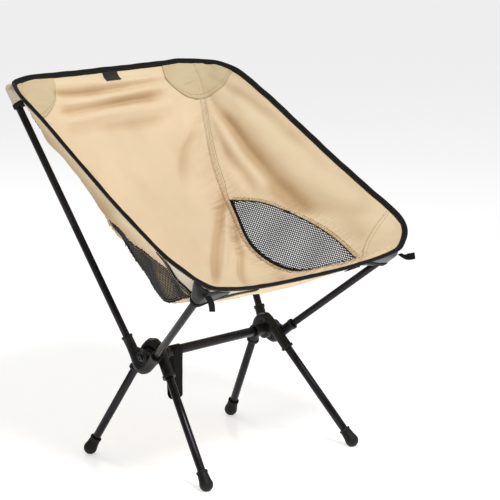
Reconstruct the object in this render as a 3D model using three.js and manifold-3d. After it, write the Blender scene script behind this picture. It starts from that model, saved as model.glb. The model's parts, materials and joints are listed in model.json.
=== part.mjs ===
// Ultralight backpacking chair: a folding tube frame with two plastic hubs and a hung fabric bucket seat.
// Millimetres. X is sideways (+X is the sitter's left), the front faces -Y, and the floor is Z = 0.
import * as THREE from 'three';
import { mergeVertices } from 'three/addons/utils/BufferGeometryUtils.js';
import Module from 'manifold-3d';

const wasm = await Module();
wasm.setup();

// ---------------------------------------------------------------- driving dimensions
const HUB_Z = 192;
const CROSSBAR_R = 8.25;
const LEG_R = 7;
const POLE_R = 6.35;
const TUBE_WALL = 1.1;
const FIT_GAP = 0.3; // between pieces that are fixed together
const RUN_GAP = 0.1; // between pieces that slide or turn in each other

// Where each leg's and pole's axis crosses the height of the hub pivot, on the left side.
const LEG_AT_HUB = { front: [138, -25], rear: [138, 22] };
const POLE_AT_HUB = { front: [161.5, -27], rear: [156.5, 22] };
const FOOT_BALL = { front: [179, -171], rear: [173, 125] };
const POLE_TIP = { front: [231, -219, 350], rear: [219, 266, 635] };

const FOOT_BALL_R = 11.8;
const FOOT_BALL_Z = 10.8; // lower than its radius, so the sole is a small flat
const FOOT_CUP = 24;

const LEG_MOUTH = -28; // heights of the socket mouths and tube ends above the pivot
const LEG_TOP = 6;
const POLE_MOUTH = { front: 10, rear: 31 };
const POLE_BOTTOM = { front: -6, rear: 10 };

const LEG_YOKE_OUT = 149.5; // outer face of the inner yoke's boss
const POLE_YOKE_IN = 150.1; // inner face of the outer yoke
const POLE_YOKE_OUT = 165;
const LEG_YOKE_IN = 129;
const CROSSBAR_MOUTH = 107;
const BOLT_R = 3;

const FABRIC = 1.2;
const BINDING_R = 3.6;
const STRAP = { centre: -86, width: 20, drop: 85, thickness: 1.5 };

// The seat's shape on the left side at nine stations from the top edge to the front edge:
// its side edge, the seam between the centre panel and the side panel, and the centre line.
const SEAT_EDGE = [
  [226, 246, 645], [252, 195, 628], [258, 130, 593], [262, 66, 553], [265, 3, 513],
  [268, -58, 475], [270, -122, 438], [270, -188, 401], [253, -241, 372],
];
const SEAT_SEAM = [
  [205, 258, 648], [204, 227, 594], [181, 189, 535], [153, 137, 467], [138, 80, 396],
  [131, 22, 332], [156, -48, 300], [186, -132, 322], [229, -248, 362],
];
const SEAT_CENTRE = [
  [0, 257, 643], [0, 226, 575], [0, 190, 503], [0, 150, 436], [0, 104, 374],
  [0, 48, 317], [0, -22, 288], [0, -122, 297], [0, -222, 338],
];
// The top edge of the mesh window, between its two corners on the seam.
const MESH_TOP = [[166, 41, 412], [184, -10, 399], [193, -62, 382], [197, -114, 361]];
const MESH_FROM = 0.47;
const MESH_TO = 0.91;
const SEAM_W = 0.6; // the seam's place across the half seat, 0 at the centre line and 1 at the side edge

// ---------------------------------------------------------------- materials
const finish = (color, roughness, metalness) => new THREE.MeshStandardMaterial({ color, roughness, metalness });
const MATERIAL = {
  tube: finish('#232124', 0.38, 0.75),
  plastic: finish('#1c1b1c', 0.55, 0),
  rubber: finish('#171617', 0.8, 0),
  steel: finish('#3a3a3c', 0.35, 0.9),
  cord: finish('#141414', 0.8, 0),
  webbing: finish('#191819', 0.85, 0),
  fabric: finish('#e6cfa6', 0.85, 0),
  patch: finish('#cdbe9f', 0.85, 0),
  mesh: finish('#2a2a2b', 0.9, 0),
};

// ---------------------------------------------------------------- helpers
const vec = (x, y, z) => new THREE.Vector3(x, y, z);
const UP = vec(0, 1, 0);

function solidFrom(geometry) {
  const bare = geometry.index ? geometry.toNonIndexed() : geometry.clone();
  bare.deleteAttribute('normal');
  bare.deleteAttribute('uv');
  const merged = mergeVertices(bare, 1e-4);
  const vertProperties = new Float32Array(merged.attributes.position.array);
  const triVerts = new Uint32Array(merged.index.array);
  return new wasm.Manifold(new wasm.Mesh({ numProp: 3, vertProperties, triVerts }));
}

function geometryFrom(solid) {
  const { numProp, vertProperties, triVerts } = solid.getMesh();
  const position = new Float32Array((vertProperties.length / numProp) * 3);
  for (let i = 0; i < position.length / 3; i++) {
    for (let k = 0; k < 3; k++) position[3 * i + k] = vertProperties[numProp * i + k];
  }
  const geometry = new THREE.BufferGeometry();
  geometry.setAttribute('position', new THREE.BufferAttribute(position, 3));
  geometry.setIndex(new THREE.BufferAttribute(new Uint32Array(triVerts), 1));
  geometry.computeVertexNormals();
  return geometry;
}

const union = (geometries) => wasm.Manifold.union(geometries.map(solidFrom));
const cut = (solid, geometries) => geometries.reduce((left, g) => left.subtract(solidFrom(g)), solid);

// Turns a profile of [radius, height] points about the line from start towards end.
function lathe(profile, start, end, segments = 24) {
  const points = profile.map(([r, h]) => new THREE.Vector2(r, h));
  const geometry = new THREE.LatheGeometry(points, segments);
  const turn = new THREE.Quaternion().setFromUnitVectors(UP, end.clone().sub(start).normalize());
  return geometry.applyQuaternion(turn).translate(start.x, start.y, start.z);
}

function rod(radius, start, end, segments = 24) {
  const length = start.distanceTo(end);
  return lathe([[0, 0], [radius, 0], [radius, length], [0, length]], start, end, segments);
}

function tube(outer, inner, start, end, segments = 24) {
  const length = start.distanceTo(end);
  return lathe([[inner, 0], [outer, 0], [outer, length], [inner, length], [inner, 0]], start, end, segments);
}

// A round bar along a curve.
function sweep(curve, radius, steps, curveSegments = 7) {
  const section = new THREE.Shape().absarc(0, 0, radius, 0, 2 * Math.PI);
  return new THREE.ExtrudeGeometry(section, { steps, curveSegments, extrudePath: curve });
}

// A plate drawn in the Y-Z plane and extruded from one X to another.
function plate(shape, fromX, toX, curveSegments = 6) {
  const geometry = new THREE.ExtrudeGeometry(shape, { depth: toX - fromX, bevelEnabled: false, curveSegments });
  const basis = new THREE.Matrix4().makeBasis(vec(0, 1, 0), vec(0, 0, 1), vec(1, 0, 0));
  return geometry.applyMatrix4(basis.setPosition(fromX, 0, 0));
}

// ---------------------------------------------------------------- axes of the legs and poles
const HUB = vec(0, 0, HUB_Z);
const ENDS = ['front', 'rear'];

function onLine(base, far, rise) {
  return base.clone().lerp(far, rise / (far.z - base.z));
}

// The point on a leg's or pole's axis at a height above the pivot.
const legBall = (end) => vec(...FOOT_BALL[end], FOOT_BALL_Z);
const legAt = (end, rise) => onLine(vec(...LEG_AT_HUB[end], HUB_Z), legBall(end), rise);
const poleTip = (end) => vec(...POLE_TIP[end]);
const poleAt = (end, rise) => onLine(vec(...POLE_AT_HUB[end], HUB_Z), poleTip(end), rise);

// ---------------------------------------------------------------- hub pieces
const alongX = (from, to) => [vec(from, 0, HUB_Z), vec(to, 0, HUB_Z)];

function legYoke() {
  const armR = LEG_R + 2.5;
  const crown = vec(135.5, -0.5, HUB_Z + 22);
  const path = new THREE.CatmullRomCurve3([
    legAt('front', LEG_MOUTH), legAt('front', -12), legAt('front', 2), legAt('front', 12), crown,
    legAt('rear', 12), legAt('rear', 2), legAt('rear', -12), legAt('rear', LEG_MOUTH),
  ]);
  const lips = ENDS.map((end) => rod(armR + 1.8, legAt(end, LEG_MOUTH - 1), legAt(end, LEG_MOUTH + 2.5)));
  const web = new THREE.Shape();
  web.moveTo(-30, HUB_Z - 8);
  web.lineTo(-12, HUB_Z + 18);
  web.lineTo(12, HUB_Z + 18);
  web.lineTo(28, HUB_Z - 8);
  web.absarc(0, HUB_Z - 4, 13, 0, Math.PI, true);
  const boss = rod(14, ...alongX(LEG_YOKE_IN, LEG_YOKE_OUT));
  const socket = rod(CROSSBAR_R + 2.4, ...alongX(CROSSBAR_MOUTH + 1, LEG_YOKE_IN + 3));
  const flange = rod(CROSSBAR_R + 3.4, ...alongX(CROSSBAR_MOUTH, CROSSBAR_MOUTH + 3.5));
  const body = union([sweep(path, armR, 18), ...lips, plate(web, LEG_YOKE_IN + 2, 142), boss, socket, flange]);
  const legBores = ENDS.map((end) => rod(LEG_R + RUN_GAP, legAt(end, LEG_MOUTH - 6), legAt(end, LEG_TOP + 1)));
  const crossbarBore = rod(CROSSBAR_R + FIT_GAP, ...alongX(CROSSBAR_MOUTH - 5, LEG_YOKE_IN));
  const boltHole = rod(BOLT_R + FIT_GAP, ...alongX(LEG_YOKE_IN - 5, LEG_YOKE_OUT + 5));
  return geometryFrom(cut(body, [...legBores, crossbarBore, boltHole]));
}

function poleYoke() {
  const armR = POLE_R + 2.55;
  const layerX = POLE_YOKE_IN + armR + 0.3;
  const lowAt = (y, rise) => vec(layerX, y, HUB_Z + rise);
  const path = new THREE.CatmullRomCurve3([
    poleAt('front', POLE_MOUTH.front), poleAt('front', 2), lowAt(-18, -8), lowAt(-8, -17), lowAt(3, -20.5),
    lowAt(13, -15), lowAt(18, -4), poleAt('rear', 12), poleAt('rear', POLE_MOUTH.rear),
  ]);
  const lips = ENDS.map((end) => {
    const mouth = POLE_MOUTH[end];
    return rod(armR + 1.1, poleAt(end, mouth - 2.5), poleAt(end, mouth + 1));
  });
  const web = new THREE.Shape();
  web.moveTo(-34, HUB_Z + 3);
  web.lineTo(-8, HUB_Z + 10);
  web.lineTo(8, HUB_Z + 13);
  web.lineTo(26, HUB_Z + 14);
  web.lineTo(14, HUB_Z - 14);
  web.lineTo(-6, HUB_Z - 18);
  // The boss has a raised outer ring and a lower inner one round the bolt.
  const rings = [
    [0, 0], [12.5, 0], [12.5, 13.4], [11.5, 14.4], [9.8, 14.4], [9, 12.2], [7.4, 12.2], [7, 13.2], [0, 13.2],
  ];
  const boss = lathe(rings, ...alongX(POLE_YOKE_IN, POLE_YOKE_OUT));
  const body = union([sweep(path, armR, 18), ...lips, plate(web, POLE_YOKE_IN + 1.5, POLE_YOKE_IN + 9), boss]);
  const poleBores = ENDS.map((end) => {
    const start = poleAt(end, POLE_BOTTOM[end] - 1);
    return rod(POLE_R + FIT_GAP, start, poleAt(end, POLE_MOUTH[end] + 6));
  });
  const boltHole = rod(BOLT_R + RUN_GAP, ...alongX(POLE_YOKE_IN - 5, POLE_YOKE_OUT + 5));
  return geometryFrom(cut(body, [...poleBores, boltHole]).trimByPlane([1, 0, 0], POLE_YOKE_IN));
}

const BOSS_FACE = POLE_YOKE_IN + 13.2;
const WASHER_T = 1;
const washerX = BOSS_FACE + FIT_GAP;
const headX = washerX + WASHER_T + FIT_GAP;

function pivotWasher() {
  return tube(5.8, BOLT_R + FIT_GAP, ...alongX(washerX, washerX + WASHER_T));
}

// A cap screw: its shank runs through both yokes into the plug in the crossbar's end.
function pivotBolt() {
  const [start, end] = alongX(LEG_YOKE_IN - 22, headX + 3);
  const shank = start.distanceTo(vec(headX, 0, HUB_Z));
  const head = [[5, shank], [5, shank + 2.2], [4.4, shank + 3], [0, shank + 3]];
  const profile = [[0, 0], [BOLT_R, 0], [BOLT_R, shank], ...head];
  const hexSocket = rod(2, ...alongX(headX + 1, headX + 5), 6);
  return geometryFrom(cut(union([lathe(profile, start, end)]), [hexSocket]));
}

function crossbarPlug() {
  const inner = CROSSBAR_R - TUBE_WALL - FIT_GAP;
  return tube(inner, BOLT_R + FIT_GAP, ...alongX(LEG_YOKE_IN - 26, LEG_YOKE_IN - 1));
}

function crossbar() {
  const half = LEG_YOKE_IN - FIT_GAP;
  return tube(CROSSBAR_R, CROSSBAR_R - TUBE_WALL, ...alongX(-half, half));
}

// ---------------------------------------------------------------- legs
const legLow = (end) => {
  const down = legBall(end).sub(legAt(end, 0)).normalize();
  return legBall(end).addScaledVector(down, -4 - FIT_GAP);
};

const legTube = (end) => tube(LEG_R, LEG_R - TUBE_WALL, legLow(end), legAt(end, LEG_TOP));

const legCord = (end) => rod(1.5, legAt(end, -75), legAt(end, LEG_TOP + 0.5), 8);

// A rubber foot: a lipped cup that flares into a ball end, cut flat at the floor.
function foot(end) {
  const ball = legBall(end);
  const cupR = LEG_R + 2;
  const waist = FOOT_BALL_R * Math.sin(1.2);
  const profile = [[0, -FOOT_BALL_R]];
  for (let i = 1; i <= 6; i++) {
    const angle = (i / 6) * (Math.PI - 1.2);
    profile.push([FOOT_BALL_R * Math.sin(angle), -FOOT_BALL_R * Math.cos(angle)]);
  }
  const lip = [[cupR + 1, FOOT_CUP - 3.4], [cupR + 1, FOOT_CUP], [0, FOOT_CUP]];
  profile.push([waist - 0.9, 9], [cupR, FOOT_CUP - 4], ...lip);
  const body = union([lathe(profile, ball, legAt(end, 0), 20)]);
  const bore = rod(LEG_R + FIT_GAP, legLow(end).lerp(ball, 0.08), legAt(end, -60));
  return geometryFrom(cut(body, [bore]).trimByPlane([0, 0, 1], 0));
}

// ---------------------------------------------------------------- upper poles
const FERRULE_HALF = 25;
const JOINT_RISE = 213; // height of the rear pole's joint above the pivot

const poleDown = (end) => poleAt(end, 0).sub(poleTip(end)).normalize();
const poleTop = (end, back) => poleTip(end).addScaledVector(poleDown(end), back);
const poleTube = (start, end) => tube(POLE_R, POLE_R - TUBE_WALL, start, end);

function ferrule() {
  const middle = poleAt('rear', JOINT_RISE);
  const down = poleDown('rear');
  const reach = POLE_R - TUBE_WALL - FIT_GAP;
  const low = middle.clone().addScaledVector(down, FERRULE_HALF);
  return tube(reach, reach - 1, low, middle.clone().addScaledVector(down, -FERRULE_HALF));
}

const TIP_DOME = 5;

// A plastic plug with a domed head, pressed into the top of a pole.
function tipPlug(end) {
  const spigot = POLE_R - TUBE_WALL - FIT_GAP;
  const dome = [[POLE_R, FIT_GAP], [POLE_R, 2], [4.6, TIP_DOME - 1], [0, TIP_DOME]];
  const profile = [[0, -12], [spigot, -12], [spigot, FIT_GAP], ...dome];
  return lathe(profile, poleTop(end, TIP_DOME), poleTip(end));
}

function poleCord(end) {
  const start = poleAt(end, POLE_BOTTOM[end] - 0.6);
  return rod(1.4, start, poleTop(end, 20), 8);
}

// The pocket that holds a pole's tip, sewn under the seat's corner. The rear ones are wide flat pockets.
function cornerPocket(end) {
  const front = end === 'front';
  const [length, mouthR, topR] = front ? [38, POLE_R + 3.8, 12.5] : [56, POLE_R + 2.2, 8.6];
  const away = poleTip(end).addScaledVector(poleDown(end), -10);
  const profile = [[0, -length], [mouthR, -length], [topR, -4], [topR - 3, 1.5], [0, 2.6]];
  const cup = solidFrom(lathe(profile, poleTip(end), away, 16));
  const outside = (w, v) => seat(w, v).addScaledVector(inward(w, v), -2.5).toArray();
  const flap = front ? [] : [outside(0.93, 0.02), outside(0.97, 0.12)];
  const bore = rod(POLE_R + 0.5, poleTop(end, length + 5), poleTip(end).addScaledVector(poleDown(end), -0.4));
  // Its top follows the underside of the seat's corner.
  const [fromV, toV] = front ? [0.8, 1] : [0, 0.2];
  const slab = sheet(gridOf(8, 16, fromV, toV, () => 0.25, () => 1), 30, 15 - FABRIC / 2 - 0.6);
  return geometryFrom(cut(wasm.Manifold.hull([cup, ...flap]), [bore, slab]));
}

// ---------------------------------------------------------------- seat surface
const curveThrough = (rows) => new THREE.CatmullRomCurve3(rows.map((p) => vec(...p)));
const edgeCurve = curveThrough(SEAT_EDGE);
const seamCurve = curveThrough(SEAT_SEAM);
const centreCurve = curveThrough(SEAT_CENTRE);
const seamEnds = [MESH_FROM, MESH_TO].map((v) => seamCurve.getPoint(v).toArray());
const meshCurve = curveThrough([seamEnds[0], ...MESH_TOP, seamEnds[1]]);

// The mesh window's top edge at a station, or the seam itself where there is no window.
function meshTop(v) {
  const along = (v - MESH_FROM) / (MESH_TO - MESH_FROM);
  return along <= 0 || along >= 1 ? seamCurve.getPoint(v) : meshCurve.getPoint(along);
}

// How far across the side strip the mesh window's top edge lies, from 0 to 1.
function meshShare(v) {
  const top = meshTop(v);
  const low = top.distanceTo(seamCurve.getPoint(v));
  return low / (low + top.distanceTo(edgeCurve.getPoint(v)));
}

// The power of the centre panel's section: a high one is a full U behind the back, a low one a shallow dish.
const fullness = (v) => THREE.MathUtils.lerp(6, 3, THREE.MathUtils.smoothstep(v, 0.35, 0.6));

// The seat's mid surface. w runs from 0 at the centre line to 1 at the side edge, v from top to front.
function seat(w, v) {
  const side = Math.sign(w) || 1;
  const across = Math.abs(w);
  const seam = seamCurve.getPoint(v);
  let point;
  if (across <= SEAM_W) {
    const share = across / SEAM_W;
    point = centreCurve.getPoint(v).lerp(seam, share ** fullness(v));
    point.x = seam.x * share;
  } else {
    const share = (across - SEAM_W) / (1 - SEAM_W);
    const bend = meshShare(v);
    const top = meshTop(v);
    if (share < bend) point = seam.lerp(top, share / bend);
    else point = top.lerp(edgeCurve.getPoint(v), (share - bend) / (1 - bend));
  }
  point.x *= side;
  return point;
}

// The unit normal that points into the bucket.
function inward(w, v) {
  const wIn = THREE.MathUtils.clamp(w, -0.94, 0.94);
  const vIn = THREE.MathUtils.clamp(v, 0.04, 0.96);
  const acrossStep = seat(wIn + 0.03, vIn).sub(seat(wIn - 0.03, vIn));
  const alongStep = seat(wIn, vIn + 0.02).sub(seat(wIn, vIn - 0.02));
  return alongStep.cross(acrossStep).normalize();
}

// A thin closed sheet over a grid of [w, v] places, raised off the seat's mid surface.
function sheet(grid, thickness, raise = 0) {
  const rows = grid.length;
  const cols = grid[0].length;
  const positions = [];
  const index = [];
  for (const offset of [raise - thickness / 2, raise + thickness / 2]) {
    for (const [w, v] of grid.flat()) {
      const p = seat(w, v).addScaledVector(inward(w, v), offset);
      positions.push(p.x, p.y, p.z);
    }
  }
  const at = (layer, i, j) => layer * rows * cols + i * cols + j;
  const quad = (a, b, c, d) => index.push(a, b, c, a, c, d);
  for (let i = 0; i + 1 < rows; i++) {
    for (let j = 0; j + 1 < cols; j++) {
      quad(at(0, i, j), at(0, i, j + 1), at(0, i + 1, j + 1), at(0, i + 1, j));
      quad(at(1, i, j), at(1, i + 1, j), at(1, i + 1, j + 1), at(1, i, j + 1));
    }
  }
  for (let i = 0; i + 1 < rows; i++) {
    quad(at(0, i, 0), at(0, i + 1, 0), at(1, i + 1, 0), at(1, i, 0));
    quad(at(0, i + 1, cols - 1), at(0, i, cols - 1), at(1, i, cols - 1), at(1, i + 1, cols - 1));
  }
  for (let j = 0; j + 1 < cols; j++) {
    quad(at(0, 0, j + 1), at(0, 0, j), at(1, 0, j), at(1, 0, j + 1));
    quad(at(0, rows - 1, j), at(0, rows - 1, j + 1), at(1, rows - 1, j + 1), at(1, rows - 1, j));
  }
  const geometry = new THREE.BufferGeometry();
  geometry.setAttribute('position', new THREE.Float32BufferAttribute(positions, 3));
  geometry.setIndex(index);
  geometry.computeVertexNormals();
  return geometry;
}

// A grid whose rows run from fromV to toV and whose columns run from lowW(v) to highW(v).
function gridOf(rows, cols, fromV, toV, lowW, highW) {
  return Array.from({ length: rows + 1 }, (_, i) => {
    const v = THREE.MathUtils.lerp(fromV, toV, i / rows);
    const row = (_, j) => [THREE.MathUtils.lerp(lowW(v), highW(v), j / cols), v];
    return Array.from({ length: cols + 1 }, row);
  });
}

const SEAM_GAP = 1.1; // each panel stops this far short of the seam line
const sideWidth = (v) => {
  const top = meshTop(v);
  return seamCurve.getPoint(v).distanceTo(top) + top.distanceTo(edgeCurve.getPoint(v));
};
const halfWidth = (v) => seamCurve.getPoint(v).distanceTo(centreCurve.getPoint(v));
const sideInset = (v) => ((1 - SEAM_W) * SEAM_GAP) / sideWidth(v);
const meshTopW = (v) => SEAM_W + (1 - SEAM_W) * meshShare(v);

function centrePanel() {
  const edge = (v) => SEAM_W * (1 - SEAM_GAP / halfWidth(v));
  return sheet(gridOf(26, 20, 0, 1, (v) => -edge(v), edge), FABRIC);
}

function sidePanel() {
  return sheet(gridOf(34, 5, 0, 1, (v) => meshTopW(v) + sideInset(v), () => 1), FABRIC);
}

function meshPanel() {
  const low = (v) => SEAM_W + sideInset(v);
  const high = (v) => meshTopW(v) - sideInset(v);
  return sheet(gridOf(18, 4, MESH_FROM + 0.015, MESH_TO - 0.012, low, high), FABRIC * 0.8);
}

const LAYER = FABRIC / 2 + 1.3; // clear height of anything sewn on the fabric's face

// How far a corner patch reaches from the top or front edge, across the half seat.
const patchReach = {
  rear: (w) => {
    const bulge = 0.04 * Math.sin((Math.PI * Math.max(0, w - SEAM_W)) / (1 - SEAM_W));
    return bulge + 0.158 * Math.sqrt(1 - (Math.max(0, 0.56 - w) / 0.18) ** 2);
  },
  front: (w) => 0.16 * ((w - 0.33) / 0.67) ** 0.8,
};

// A reinforcement patch with a curved free edge, sewn inside a corner.
function cornerPatch(end) {
  const thickness = 0.8;
  const grid = Array.from({ length: 13 }, (_, i) => {
    const w = THREE.MathUtils.lerp(0.39, 0.985, i / 12);
    const place = (j) => THREE.MathUtils.lerp(0.006, patchReach[end](w), j / 5);
    return Array.from({ length: 6 }, (_, j) => [w, end === 'rear' ? place(j) : 1 - place(5 - j)]);
  });
  return sheet(grid.reverse(), thickness, LAYER + thickness / 2);
}

function labelTag() {
  return sheet(gridOf(2, 3, 0.004, 0.03, () => -0.045, () => 0.053), 0.8, LAYER + 0.4);
}

// ---------------------------------------------------------------- binding, tapes and straps
// The seat's whole rim, walked from the middle of the front edge round by the left side.
function rimPlaces() {
  const places = [];
  const line = (count, place) => {
    for (let i = 0; i < count; i++) places.push(place(i / count));
  };
  line(7, (t) => [0.01 + 0.99 * t, 1]);
  line(18, (t) => [1, 1 - t]);
  line(14, (t) => [1 - 2 * t, 0]);
  line(18, (t) => [-1, t]);
  line(7, (t) => [-1 + 0.99 * t, 1]);
  places.push([-0.01, 1]);
  return places;
}

function binding() {
  const places = rimPlaces();
  const rim = places.map(([w, v]) => seat(w, v));
  const clear = BINDING_R + 1.7;
  const stepAt = (i) => rim[(i + 1) % rim.length].clone().sub(rim[i]).normalize();
  const path = rim.map((p, i) => {
    const both = stepAt(i).add(stepAt((i + rim.length - 1) % rim.length));
    const mitre = 2 / both.length();
    const out = both.cross(inward(...places[i])).normalize();
    return p.clone().addScaledVector(out, clear * mitre);
  });
  return sweep(new THREE.CatmullRomCurve3(path), BINDING_R, 118, 3);
}

// A seam's piping on the outside of the seat, from the rear corner down and along the mesh window.
function seamPiping() {
  const lowPath = [];
  const highPath = [];
  const outside = (w, v) => seat(w, v).addScaledVector(inward(w, v), -4);
  for (let i = 0; i <= 20; i++) lowPath.push(outside(SEAM_W + 0.012, THREE.MathUtils.lerp(0.17, 0.93, i / 20)));
  for (let i = 0; i <= 10; i++) {
    const v = THREE.MathUtils.lerp(MESH_FROM + 0.01, MESH_TO - 0.01, i / 10);
    highPath.push(outside(meshTopW(v), v));
  }
  const paths = [lowPath, highPath].map((points) => new THREE.CatmullRomCurve3(points));
  const pieces = paths.map((path, k) => sweep(path, 1.9, k ? 22 : 40, 3));
  return geometryFrom(union(pieces));
}

// A short webbing tab under a front corner. The left one stands forward and the right one hangs.
const TAB_END = { left: vec(4, -30, 1), right: vec(4, -15, -22) };

function pullTab(side) {
  const root = poleTip('front').add(vec(1, -12, -4));
  const bend = root.clone().add(vec(1, -12, -6));
  const path = new THREE.QuadraticBezierCurve3(root, bend, root.clone().add(TAB_END[side]));
  const section = new THREE.Shape();
  section.moveTo(-1, -6);
  section.lineTo(1, -6);
  section.lineTo(1, 6);
  section.lineTo(-1, 6);
  return new THREE.ExtrudeGeometry(section, { steps: 8, extrudePath: path });
}

// A loop of webbing that hangs on the crossbar.
function slotShape(radius, lowRadius) {
  const shape = new THREE.Shape();
  shape.absarc(0, HUB_Z, radius, 0, Math.PI);
  shape.absarc(0, HUB_Z - STRAP.drop + lowRadius, lowRadius, Math.PI, 2 * Math.PI);
  return shape;
}

function storageStrap() {
  const { centre, width, thickness } = STRAP;
  const bar = CROSSBAR_R + 0.5;
  const outer = plate(slotShape(bar + thickness, 8 + thickness), centre - width / 2, centre + width / 2, 10);
  const inner = plate(slotShape(bar, 8), centre - width, centre + width, 10);
  return geometryFrom(cut(union([outer]), [inner]));
}

// ---------------------------------------------------------------- assembly
const chair = new THREE.Group();

function add(group, name, geometry, material) {
  const mesh = new THREE.Mesh(geometry, MATERIAL[material]);
  mesh.name = name;
  group.add(mesh);
}

function sideOf(suffix) {
  const group = new THREE.Group();
  const put = (name, geometry, material) => add(group, `${name}_${suffix}`, geometry, material);
  put('leg_yoke', legYoke(), 'plastic');
  put('pole_yoke', poleYoke(), 'plastic');
  put('pivot_bolt', pivotBolt(), 'steel');
  put('pivot_washer', pivotWasher(), 'steel');
  put('crossbar_plug', crossbarPlug(), 'plastic');
  for (const end of ENDS) {
    put(`leg_${end}`, legTube(end), 'tube');
    put(`foot_${end}`, foot(end), 'rubber');
    put(`leg_cord_${end}`, legCord(end), 'cord');
    put(`pole_tip_${end}`, tipPlug(end), 'plastic');
    put(`pole_cord_${end}`, poleCord(end), 'cord');
    put(`corner_pocket_${end}`, cornerPocket(end), end === 'front' ? 'webbing' : 'patch');
    put(`corner_patch_${end}`, cornerPatch(end), 'patch');
  }
  const halfJoint = FIT_GAP / 2;
  const joint = poleAt('rear', JOINT_RISE);
  const down = poleDown('rear');
  const rearLow = joint.clone().addScaledVector(down, halfJoint);
  const rearHigh = joint.clone().addScaledVector(down, -halfJoint);
  put('pole_front', poleTube(poleAt('front', POLE_BOTTOM.front), poleTop('front', TIP_DOME)), 'tube');
  put('pole_rear_lower', poleTube(poleAt('rear', POLE_BOTTOM.rear), rearLow), 'tube');
  put('pole_rear_upper', poleTube(rearHigh, poleTop('rear', TIP_DOME)), 'tube');
  put('pole_ferrule', ferrule(), 'steel');
  put('side_panel', sidePanel(), 'fabric');
  put('mesh_window', meshPanel(), 'mesh');
  put('seam_piping', seamPiping(), 'webbing');
  put('pull_tab', pullTab(suffix), 'webbing');
  return group;
}

const left = sideOf('left');
const right = sideOf('right');
right.scale.x = -1;
chair.add(left, right);
add(chair, 'crossbar', crossbar(), 'tube');
add(chair, 'centre_panel', centrePanel(), 'fabric');
add(chair, 'edge_binding', binding(), 'webbing');
add(chair, 'label_tag', labelTag(), 'webbing');
add(chair, 'storage_strap', storageStrap(), 'webbing');

export default chair;
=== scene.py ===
# Looks of the ultralight backpacking chair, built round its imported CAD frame. Metres, +Z up, front at -Y.
import json
import math

import bmesh
import bpy
import numpy as np
from mathutils import Matrix, Vector
from mathutils.bvhtree import BVHTree


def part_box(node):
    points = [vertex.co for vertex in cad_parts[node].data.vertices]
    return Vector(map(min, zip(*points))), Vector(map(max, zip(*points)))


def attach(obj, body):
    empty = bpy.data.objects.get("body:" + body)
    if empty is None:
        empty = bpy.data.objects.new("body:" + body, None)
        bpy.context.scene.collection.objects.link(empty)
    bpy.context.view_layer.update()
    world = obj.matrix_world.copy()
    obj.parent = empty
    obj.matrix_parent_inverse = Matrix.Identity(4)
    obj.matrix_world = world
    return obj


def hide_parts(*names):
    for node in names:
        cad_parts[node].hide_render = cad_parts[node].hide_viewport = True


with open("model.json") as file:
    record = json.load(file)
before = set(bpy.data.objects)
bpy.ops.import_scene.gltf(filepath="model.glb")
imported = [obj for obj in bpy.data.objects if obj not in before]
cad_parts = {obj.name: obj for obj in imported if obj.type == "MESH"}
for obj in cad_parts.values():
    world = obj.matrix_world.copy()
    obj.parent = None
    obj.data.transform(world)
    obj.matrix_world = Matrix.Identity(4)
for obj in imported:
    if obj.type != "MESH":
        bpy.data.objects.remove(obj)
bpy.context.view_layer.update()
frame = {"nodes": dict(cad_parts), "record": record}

NODES = frame["nodes"]
SIDES = {"left": 1, "right": -1}
TAU = 2 * math.pi

# ---------------------------------------------------------------- the seat, as in the CAD, in millimetres
SEAT_EDGE = [[226, 246, 645], [252, 195, 628], [258, 130, 593], [262, 66, 553], [265, 3, 513],
             [268, -58, 475], [270, -122, 438], [270, -188, 401], [253, -241, 372]]
SEAT_SEAM = [[205, 258, 648], [204, 227, 594], [181, 189, 535], [153, 137, 467], [138, 80, 396],
             [131, 22, 332], [156, -48, 300], [186, -132, 322], [229, -248, 362]]
SEAT_CENTRE = [[0, 257, 643], [0, 226, 575], [0, 190, 503], [0, 150, 436], [0, 104, 374],
               [0, 48, 317], [0, -22, 288], [0, -122, 297], [0, -222, 338]]
MESH_TOP = [[166, 41, 412], [184, -10, 399], [193, -62, 382], [197, -114, 361]]
HUB = {"front": (161.5, -27, 192), "rear": (156.5, 22, 192)}
TIP = {"front": (231, -219, 350), "rear": (219, 266, 635)}
MESH_FROM, MESH_TO = 0.47, 0.91
SEAM_W = 0.6
SEAM_LENGTH = 860

# Metres from the cloth's middle to what is laid on it, positive inside the bucket, and how thick it is.
HEM_AT, HEM_THICK = 0.0011, 0.0007
TAPE_AT, TAPE_THICK = -0.0018, 0.0008
STITCH_AT, TAPE_STITCH_AT = 0.0016, -0.0023
PATCH_AT, NET_AT, POCKET_AT = 0.0019, -0.0008, -0.0034
PATCH_TAPE_AT, PATCH_STITCH_AT, SLACK = -0.0040, -0.0048, 0.0004
# Folds this deep get the full painted shade in their valleys.
DEEPEST_FOLD = 0.010
BUCKET_MIDDLE = Vector((0, -0.02, 0.5))


def curve(points, t):
    """Points at t, from 0 to 1, on a centripetal Catmull-Rom curve."""
    p = np.asarray(points, float)
    last = len(p) - 2
    p = np.vstack([2 * p[0] - p[1], p, 2 * p[-1] - p[-2]])
    t = np.clip(np.asarray(t, float), 0, 1) * (last + 1)
    i = np.minimum(t.astype(int), last)
    f = (t - i)[..., None]
    p0, p1, p2, p3 = (p[i + k] for k in range(4))
    pairs = ((p0, p1), (p1, p2), (p2, p3))
    d0, d1, d2 = (np.sqrt(np.linalg.norm(b - a, axis=-1, keepdims=True)) for a, b in pairs)
    m1 = ((p1 - p0) / d0 - (p2 - p0) / (d0 + d1) + (p2 - p1) / d1) * d1
    m2 = ((p2 - p1) / d1 - (p3 - p1) / (d1 + d2) + (p3 - p2) / d2) * d1
    return (((2 * p1 - 2 * p2 + m1 + m2) * f + (3 * p2 - 3 * p1 - 2 * m1 - m2)) * f + m1) * f + p1


MESH_CURVE = [curve(SEAT_SEAM, MESH_FROM), *MESH_TOP, curve(SEAT_SEAM, MESH_TO)]


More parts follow.
